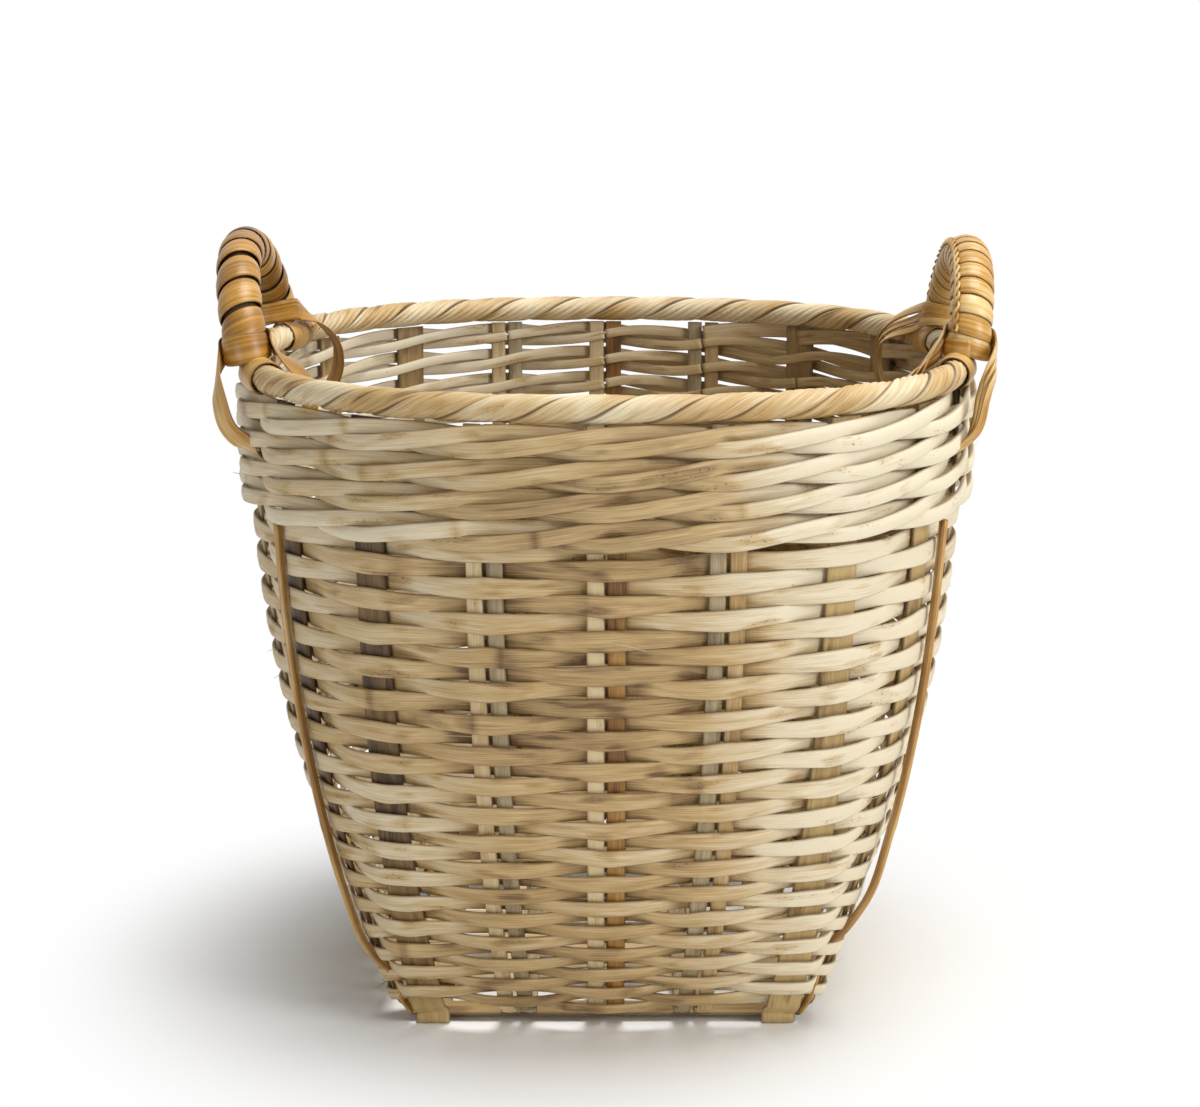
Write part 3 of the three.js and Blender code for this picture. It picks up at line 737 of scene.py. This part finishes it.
# %% Band strands
band_foot = rim_height - 0.067
band_rounds = 4
band_pitch = 0.015
strand_count = 3
strand_thickness = 0.0024
strand_width, strand_swell = 0.0077, 0.0008
strand_rise = 0.0038
first_round = 0.0064
slat_margin, pair_margin = 0.0035, 0.0015
band_spacing = 0.055
strand_stretches = 8
step_stake = 12
step_stakes = 3
closing_steps = 7
back_narrowing, end_broadening = 0.0018, 0.003
strand_scatter = 0.0003


def round_height(step):
    """Height of a round's middle, level but for the step up to the next round."""
    in_round = step % stake_count
    climb = np.clip(in_round - (stake_count - step_stakes), 0, None) / step_stakes
    rounds = np.minimum(step // stake_count + climb, band_rounds - 0.9)
    return band_foot + first_round + band_pitch * rounds


def strand_frames(first, loops):
    """Places, up directions and place in the loop along a strand, with five places in a loop of three
    stakes: two behind the first stake, one in front of each other stake and one between those."""
    phase = np.array([0, 0, 1, 1.5, 2])
    step = first + strand_count * np.arange(loops + 1)[:, None] + phase
    stake = (step + step_stake) % stake_count
    flush = half_stake(stake) + clearance + strand_thickness / 2
    flat = np.where(is_slat(stake), slat_width / 2 + slat_margin, pair_width / 2 + pair_margin)
    across = flat * np.array([-1, 1, 0, 0, 0])
    lift = strand_rise * np.array([0.5, -0.5, -0.95, 0, 0.95])
    # In front a newer strand lies over an older one, so it starts further out than it ends
    away = flush * np.array([-1, -1, 1, 1, 1]) + np.array([0, 0, 0.0052, 0.0055, 0.0026])
    height = round_height(step) + lift + rng.normal(0, strand_scatter, step.shape)
    point, level, up, out = wall(stake, height)
    place = point + level * across[..., None] + out * away[..., None]
    turn = step - first + across / band_spacing
    return np.concatenate([place, up, turn[..., None]], -1).reshape(-1, 7)


loop_rings = 5 * strand_stretches
for i in range(strand_count):
    strand_loops = (band_rounds * stake_count - 1 - i) // strand_count
    frames = smooth(strand_frames(i, strand_loops), strand_stretches)
    cuts = np.round(strand_loops * np.arange(band_rounds + 1) / band_rounds).astype(int)
    for j in range(band_rounds):
        first, last = loop_rings * cuts[j:j + 2] + strand_stretches // 2
        part = frames[first:last + 1]
        path, up, turn = spliced(part[:, :3]), part[:, 3:6], part[:, 6]
        along = lengths_along(path)
        knot = joints(along)
        width = strand_width + strand_swell * np.sin(np.pi * turn / strand_count) ** 2
        width = width + drift(along, 0.05, -0.0005, 0.0004)
        # The back is woven of narrower splints, so that light shows between them
        width = width - back_narrowing * np.clip(path[:, 1] / 0.1, 0, 1)
        # The ends that close the last round are broader
        closing = turn + i - (band_rounds * stake_count - closing_steps)
        width = width + end_broadening * np.clip(closing, 0, 1)
        # Painted light and shade by the place on the basket are added to the tone
        tone = rng.uniform(0.05, 0.2) + drift(along, 0.1, -0.04, 0.27) + 0.35 * knot + painted_light_and_shade(path)
        strips = frayed(path, up, width, strand_thickness * (1 + 0.3 * knot), tone, 0.55, 0.02)
        add_piece(f"band_strand_{i + 1}_round_{j + 1}", "splint", strips, band_finish)
print("band splints:", strand_count * band_rounds)

# %% [markdown]
# ## Rope rim
# The tops of the stakes are hidden in a rope of two broad ribbons of split bamboo that are laid
# round each other. The section turns as it goes along the rim, and each corner of the mesh turns with
# it, so the edges and the fine grooves of a ribbon run with the lay.

# %% Rope
rope_lay = 0.066
rope_rings = 720
ribbon_corners = 38
ribbon_splints = 6
grid = np.linspace(0, 2 * np.pi, 4001)
outline = np.column_stack([np.cos(grid), np.sin(grid), 0 * grid]) * rim_radius(grid)[:, None]
run_length = lengths_along(outline)
angle = np.interp(np.arange(rope_rings) / rope_rings * run_length[-1], run_length, grid)
path = np.column_stack([np.cos(angle), np.sin(angle), 0 * angle]) * rim_radius(angle)[:, None]
path[:, 2] = rim_height
run = run_of(path, True)
away = unit(np.cross(run, upright))
turns = round(run_length[-1] / rope_lay)
lay = 2 * np.pi * turns * np.arange(rope_rings) / rope_rings


def ribbon_radius(share):
    """Radius across a ribbon: it swells by the square root of a sine, rises towards the edge that lies on
    the next ribbon, and has fine grooves between its splints, by a cosine to the 6."""
    core, rise = 0.0057, 0.0009
    swell = 0.001 * np.sqrt(np.sin(np.pi * share))
    groove = 0.0005 * np.abs(np.cos(ribbon_splints * np.pi * share)) ** 6
    return core + swell + rise * share - groove


share = np.concatenate([[0.0, 0.02], np.linspace(0.06, 0.97, ribbon_corners - 3), [1.0]])
radius = np.tile(ribbon_radius(share), 2)
# Each ribbon goes round just short of half a turn, so that the edge over the next one is a step
short_turn = 0.999
turned = np.concatenate([share, share + 1]) * np.pi * short_turn
around = turned[None, :] + lay[:, None]
sideways = (radius * np.cos(around))[..., None] * away[:, None]
rings = path[:, None] + sideways + (radius * np.sin(around))[..., None] * upright
rope_along = np.append(np.arange(rope_rings) / rope_rings, 1) * run_length[-1]
ribbon_tones = [drift(rope_along[:-1], 0.025, 0.0, 0.6) for ribbon in (0, 1)]
tone = np.repeat(np.stack(ribbon_tones, -1), ribbon_corners, axis=1)
edge_width, mean_radius = 0.05, 0.0065
edge = np.exp(-((share - 1) / edge_width) ** 2) + np.exp(-((share / edge_width) ** 2))
# The fine grooves between a ribbon's splints are darkened too: painted shade in the creases
edge = edge + 0.55 * np.abs(np.cos(ribbon_splints * np.pi * share)) ** 12
edge = np.tile(edge, 2) * drift(rope_along[:-1], 0.05, 0.5, 1.5)[:, None]
rope_around = np.append(turned, 2 * np.pi) * mean_radius
rope = surface(rings[:, ::-1], rope_along, rope_around[::-1], tone[:, ::-1], edge[:, ::-1], True)
add_piece("rim_rope", "lay", [rope], rope_finish)
print("rope turns:", turns)

# %% [markdown]
# ## Handles
# Each handle is an arch of rattan pole that stands on the rope and leans out a little, wound from
# foot to foot with flat peel. A turn of peel rises towards the turn before it, and where the turns
# do not quite meet the dark pole shows between them. The first and the last turn lie level. Two
# narrow peels are plaited along the inner side of the right handle. A winding is a section carried
# round the arch, so each of its corners has an angle along the arch, one round it and a distance.

# %% Arch of a handle
leg_foot = rim_height + rope_radius + clearance
arch_reach = 0.193
leg_stand = 0.0045
peel_thickness = 0.0015
winding_start = -0.03
# Side, half the spread of the legs, rise, turns of peel and radius of the pole
handles = (("left", -1, 0.07, 0.048, 12, 0.0088), ("right", 1, 0.053, 0.044, 17, 0.0087))
# How much of its turn the peel covers and its tones, from least to most, at each handle
peel_looks = {"left": (0.82, 1.0, 0.35, 0.9), "right": (1.0, 1.1, 0.12, 0.52)}


def arch_frame(side, spread, rise, angle):
    """Middle of an arch, half an oval over the rim, and the directions out of its opening and across."""
    leg_angle = np.arcsin(spread / rim_half)
    leg_away = rim_radius(leg_angle) * np.cos(leg_angle) + leg_stand
    lean = arch_reach - leg_away
    sine, cosine = np.sin(angle), np.cos(angle)
    point = np.stack([side * (leg_away + lean * sine), spread * cosine, leg_foot + rise * sine], -1)
    run = unit(np.stack([side * lean * cosine, -spread * sine, rise * cosine], -1))
    across = unit(np.array([side, 0, 0]) - run * (side * run[..., :1]))
    return point, np.cross(run, across), across


def arch_point(handle, angle, around, radius):
    """A place at an angle round the arch's middle line and a distance from it."""
    point, away, across = arch_frame(*handle, angle)
    sideways = across * (radius * np.sin(around))[..., None]
    return point + away * (radius * np.cos(around))[..., None] + sideways


def plait(handle, radius, sense):
    """One of two narrow peels plaited along the inner side of a winding. It goes from side to side by a
    cosine and over and under the other one by a sine, 11 mm to a wave."""
    waves, swing, depth = 28, 0.11, 0.0006
    width, thickness = 0.002, 0.0009
    end_angle, turned_up = 0.2, 0.75
    angle = np.linspace(end_angle, np.pi - end_angle, 500)
    wave = waves * angle * sense
    around = -np.pi / 2 + turned_up + swing * np.cos(wave) * sense
    path = arch_point(handle, angle, around, radius + depth * np.sin(wave))
    middle = arch_frame(*handle, angle)[0]
    run = run_of(path)
    tone = drift(lengths_along(path), 0.01, 0.05, 0.5)
    return strip(path, np.cross(unit(path - middle), run), width, thickness, tone, 0.5, 10)


print("tops of the arches:", [round(leg_foot + handle[3], 4) for handle in handles])

# %% Cores and windings
pole_rings, pole_corners = 60, 24
peel_corners, turn_rings = 16, 40
# A peel lies level for part of a turn at each end, so it climbs over fewer turns than it has
level_turn, turns_less = 0.8, 0.7
peel_width = 0.026
peel_bulge, peel_rise, turn_over = 0.0006, 0.0009, 0.0024
plait_stand = 0.0034
for name, side, spread, rise, turns, pole in handles:
    handle = (side, spread, rise)
    angle = np.linspace(0, np.pi, pole_rings)[:, None]
    around = np.linspace(0, 2 * np.pi, pole_corners, endpoint=False)[None, :]
    rings = arch_point(handle, angle, around * side, pole + 0 * angle)
    along = angle[:, 0] * (spread + rise) / 2
    rounds = np.arange(pole_corners + 1) / pole_corners * 2 * np.pi * pole
    core = surface(rings, along, rounds, drift(along, 0.02, 0.3, 0.7)[:, None], np.zeros(pole_corners))
    add_piece(f"handle_core_{name}", "pole", [core], pole_finish)
    pitch = (np.pi - 2 * winding_start) / (turns - turns_less)
    turn = np.linspace(0, turns, turns * turn_rings + 1)
    section = splint_section(peel_corners, 0.2)
    share = 0.5 + section[None, :, 0] / 2
    least, most, light, dark = peel_looks[name]
    cover = drift(turn, 0.5, least, most)
    # The first and the last turn go round level, one under the next turn and one over the turn before
    climb = np.clip(turn - level_turn, 0, turns - 2 * level_turn)
    over = turn_over * (np.clip(turn - 0.5, 0, 0.5) - 0.5 + np.clip(turn - turns + 1, 0, 0.5))
    angle = (winding_start + pitch * climb)[:, None] + pitch * cover[:, None] * share
    bulge = peel_bulge * (1 - (2 * share - 1) ** 2) + peel_rise * share
    lift = pole + clearance + peel_thickness * (0.5 + 0.35 * section[None, :, 1]) + bulge + over[:, None]
    around = 2 * np.pi * turn[:, None] * side + 0 * share
    rings = arch_point(handle, angle, around, lift + 0 * angle)
    along = lengths_along(rings[:, peel_corners // 2])
    rounds = (np.arange(peel_corners + 1) / peel_corners - 0.5) * peel_width
    rounds = rounds + rng.uniform(0, pattern_spread)
    tone = drift(along, 0.04, light, dark)
    edge = np.abs(section[:, 0]) ** edge_sharpness
    peels = [surface(rings, along, rounds, tone[:, None], edge)]
    if name == "right":
        peels += [plait(handle, pole + plait_stand, sense) for sense in (-1, 1)]
    add_piece(f"handle_winding_{name}", "peel", peels, peel_finish)
    print(name, "handle: turns of peel", turns)

# %% [markdown]
# ## Lashings
# Straps of peel go over the foot of each leg like a saddle, down both sides of the band and through
# the wall between its second and third rounds. They bow off the wall and twist on their way down. On
# the left it is one broad strap, on the right three narrow ones. A shorter ribbon is wound round the
# rope beside the leg. A strap is a closed loop through a few places, each with the way it faces there.

# %% Lashings
strap_thickness = 0.0011
strap_bend = 0.003
strap_fall = 0.008
strap_stand = 0.0046
strap_stretches = 8
slot_drop = 0.0011
wrap_radius, wrap_width = 0.0085, 0.0115
wrap_turns, wrap_step, wrap_rings = 2.2, 0.06, 36


def wall_between(first, second, z):
    """Place halfway between two stakes, and the level directions across and out of the wall there."""
    a, level_a, _, out_a = wall(np.array(first), np.array(z))
    b, level_b, _, out_b = wall(np.array(second), np.array(z))
    out = (out_a + out_b) * [1, 1, 0]
    return (a + b) / 2, unit(level_a + level_b), unit(out)


def strap(handle, end, leg_radius, width, lift, bow, shift, tones):
    """A strap's surface. lift is how far up the leg its middle is, bow how far it stands off the wall
    halfway down, and shift how far along the wall it goes through. It twists away from the opening on its
    way, and round the leg it falls to both sides by a sine."""
    side, _, rise = handle
    stake = (1 if side > 0 else 3) * stakes_per_side + side_middle
    turn = side * end
    slot_height = band_foot + 2 * band_pitch - slot_drop
    slot, level, out = wall_between(stake + turn, stake + 2 * turn, slot_height)
    slot = slot + level * shift
    outside, inside = 0.0115, -rope_radius - 0.003
    height = rim_height - slot_height
    aside = np.array([0, end, 0])
    # Distances out and up from where it goes through, and the way it faces
    places = [(outside - strap_bend, 0, out - upright), (outside, strap_bend, out + 0.3 * aside),
              (outside + 1.2 * bow, 0.35 * height, out + aside),
              (outside + 1.7 * bow, 0.75 * height, out + 0.5 * aside)]
    stops = [(slot + out * x + upright * z, face) for x, z, face in places]
    for share in np.linspace(0, 1, 7):
        up_leg = np.arcsin((lift - strap_fall * (1 - np.sin(np.pi * share))) / rise)
        angle = np.array(up_leg if end > 0 else np.pi - up_leg)
        middle = arch_frame(*handle, angle)[0]
        around = np.array(np.pi / 2 + side * np.pi * share)
        point = arch_point(handle, angle, around, np.array(leg_radius))
        stops.append((point, point - middle))
    places = [(inside - 1.1 * bow, 0.8 * height, 0.9 * aside - out),
              (inside - bow, 0.4 * height, aside - out),
              (inside, strap_bend, 0.3 * aside - out), (inside + strap_bend, 0, -out - upright)]
    stops += [(slot + out * x + upright * z, face) for x, z, face in places]
    stops = np.array([np.concatenate([point, unit(face)]) for point, face in stops])
    # The curve starts three stops early and ends three late, so that it closes smoothly
    curve = smooth(np.vstack([stops[-3:], stops, stops[:4]]), strap_stretches)
    looped = curve[3 * strap_stretches:(3 + len(stops)) * strap_stretches]
    path, face = looped[:, :3], unit(looped[:, 3:6])
    run = run_of(path, True)
    tone = drift(lengths_along(path), 0.03, *tones)
    return strip(path, np.cross(face, run), width, strap_thickness, tone, 0.6, 14, True)


def rope_wrap(handle, end):
    """A ribbon wound round the rope from the foot of a leg away from the opening, 13 mm a turn."""
    side, spread, _ = handle
    turn = np.linspace(0, wrap_turns, round(wrap_turns * wrap_rings) + 1)
    angle = np.arcsin(spread / rim_half) - wrap_step / 2 + wrap_step * turn
    out = np.stack([side * np.cos(angle), end * np.sin(angle), 0 * angle], -1)
    middle = out * rim_radius(angle)[:, None] + upright * rim_height
    around = 2 * np.pi * turn + np.pi / 2
    face = out * np.cos(around)[:, None] + upright * np.sin(around)[:, None]
    path = middle + face * wrap_radius
    run = run_of(path)
    tone = drift(lengths_along(path), 0.03, 0.1, 0.5)
    return strip(path, np.cross(face, run), wrap_width, strap_thickness, tone, 0.6, 14)


# Width, height up the leg, bow and shift of each strap in metres, and the tones of the peel
strap_sizes = {"left": ((0.012, 0.011, 0.009, 0),),
               "right": ((0.0055, 0.006, 0.008, -0.006), (0.005, 0.011, 0.006, 0),
                         (0.0055, 0.0165, 0.004, 0.006))}
strap_tones = {"left": (0.3, 0.7), "right": (0.1, 0.5)}
for name, side, spread, rise, _, pole in handles:
    handle = (side, spread, rise)
    leg_radius = pole + strap_stand
    for end_name, end in (("front", -1), ("back", 1)):
        straps = [strap(handle, end, leg_radius, *size, strap_tones[name]) for size in strap_sizes[name]]
        straps.append(rope_wrap(handle, end))
        add_piece(f"lashing_{name}_{end_name}", "strap", straps, peel_finish)
print("lashings:", 2 * len(handles))

# %% [markdown]
# ## Side canes
# A thin cane runs down each slat of the two handle sides, from under the band. It stands off the
# wall, goes in behind a row of the weave near the floor and comes out again at the corner of the
# base. Its path is a curve through a few places, each with a shift towards the corner and a
# stand-off. The one at the front right leans back at the top, as a cane that has slipped does.

# %% Side canes
cane_radius = 0.002
cane_foot = slat_width / 2 + slat_at + cane_radius + clearance
# Share of the height under the band, then shift and stand-off in millimetres
straight_cane = ((1, 0, 7.5), (0.82, 1, 7.5), (0.6, 4, 8), (0.4, 7, 8.5), (0.26, 10, 8.2))
slipped_cane = ((1, -11, 7.5), (0.82, -8, 8), (0.6, -2, 10), (0.4, 5, 11), (0.26, 9.5, 9.2))
# Height over the edge of the row that it goes behind, shift and stand-off in millimetres
cane_dive = ((13, 11.5, 6.4), (5, 12, 3), (-1.5, 12, -1.8), (-8.5, 12, -4.2))
cane_end = (16, 11.5, -2.8)
cane_end_height = 0.007
cane_stretches = 12
cane_joint, cane_joint_at, cane_joint_width = 0.11, 0.05, 0.002
# The stake that a cane runs down, the way to its corner and the upper edge of the row in millimetres
cane_places = (("front_right", 5, -1, 50), ("back_right", 9, 1, 39.5), ("back_left", 15, -1, 43.5),
               ("front_left", 19, 1, 33))
for name, stake, turn, row_edge in cane_places:
    upper = np.array(slipped_cane if name == "front_right" else straight_cane)
    upper[:, 0] *= (band_foot - cane_radius) * 1000
    lower = np.array(cane_dive) + [row_edge, 0, 0]
    height, shift, stand = np.vstack([upper, lower, cane_end]).T * 0.001
    point, level, up, out = wall(stake, height)
    stops = point + turn * level * shift[:, None] + out * stand[:, None]
    stops[:, 2] = height
    corner = np.sign(stops[0]) * [cane_foot, cane_foot, 0] + [0, 0, cane_end_height]
    path = smooth(np.vstack([stops, [corner]]), cane_stretches)
    along = lengths_along(path)
    wide = np.tile(level[0], (len(path), 1))
    knot = np.exp(-(((along % cane_joint) - cane_joint_at) / cane_joint_width) ** 2)
    size = 2 * cane_radius * (1 + 0.12 * knot)
    cane = strip(path, wide, size, size, drift(along, 0.05, 0.3, 0.7), 0)
    add_piece(f"side_cane_{name}", "cane", [cane], peel_finish)
print("side canes:", len(cane_places))
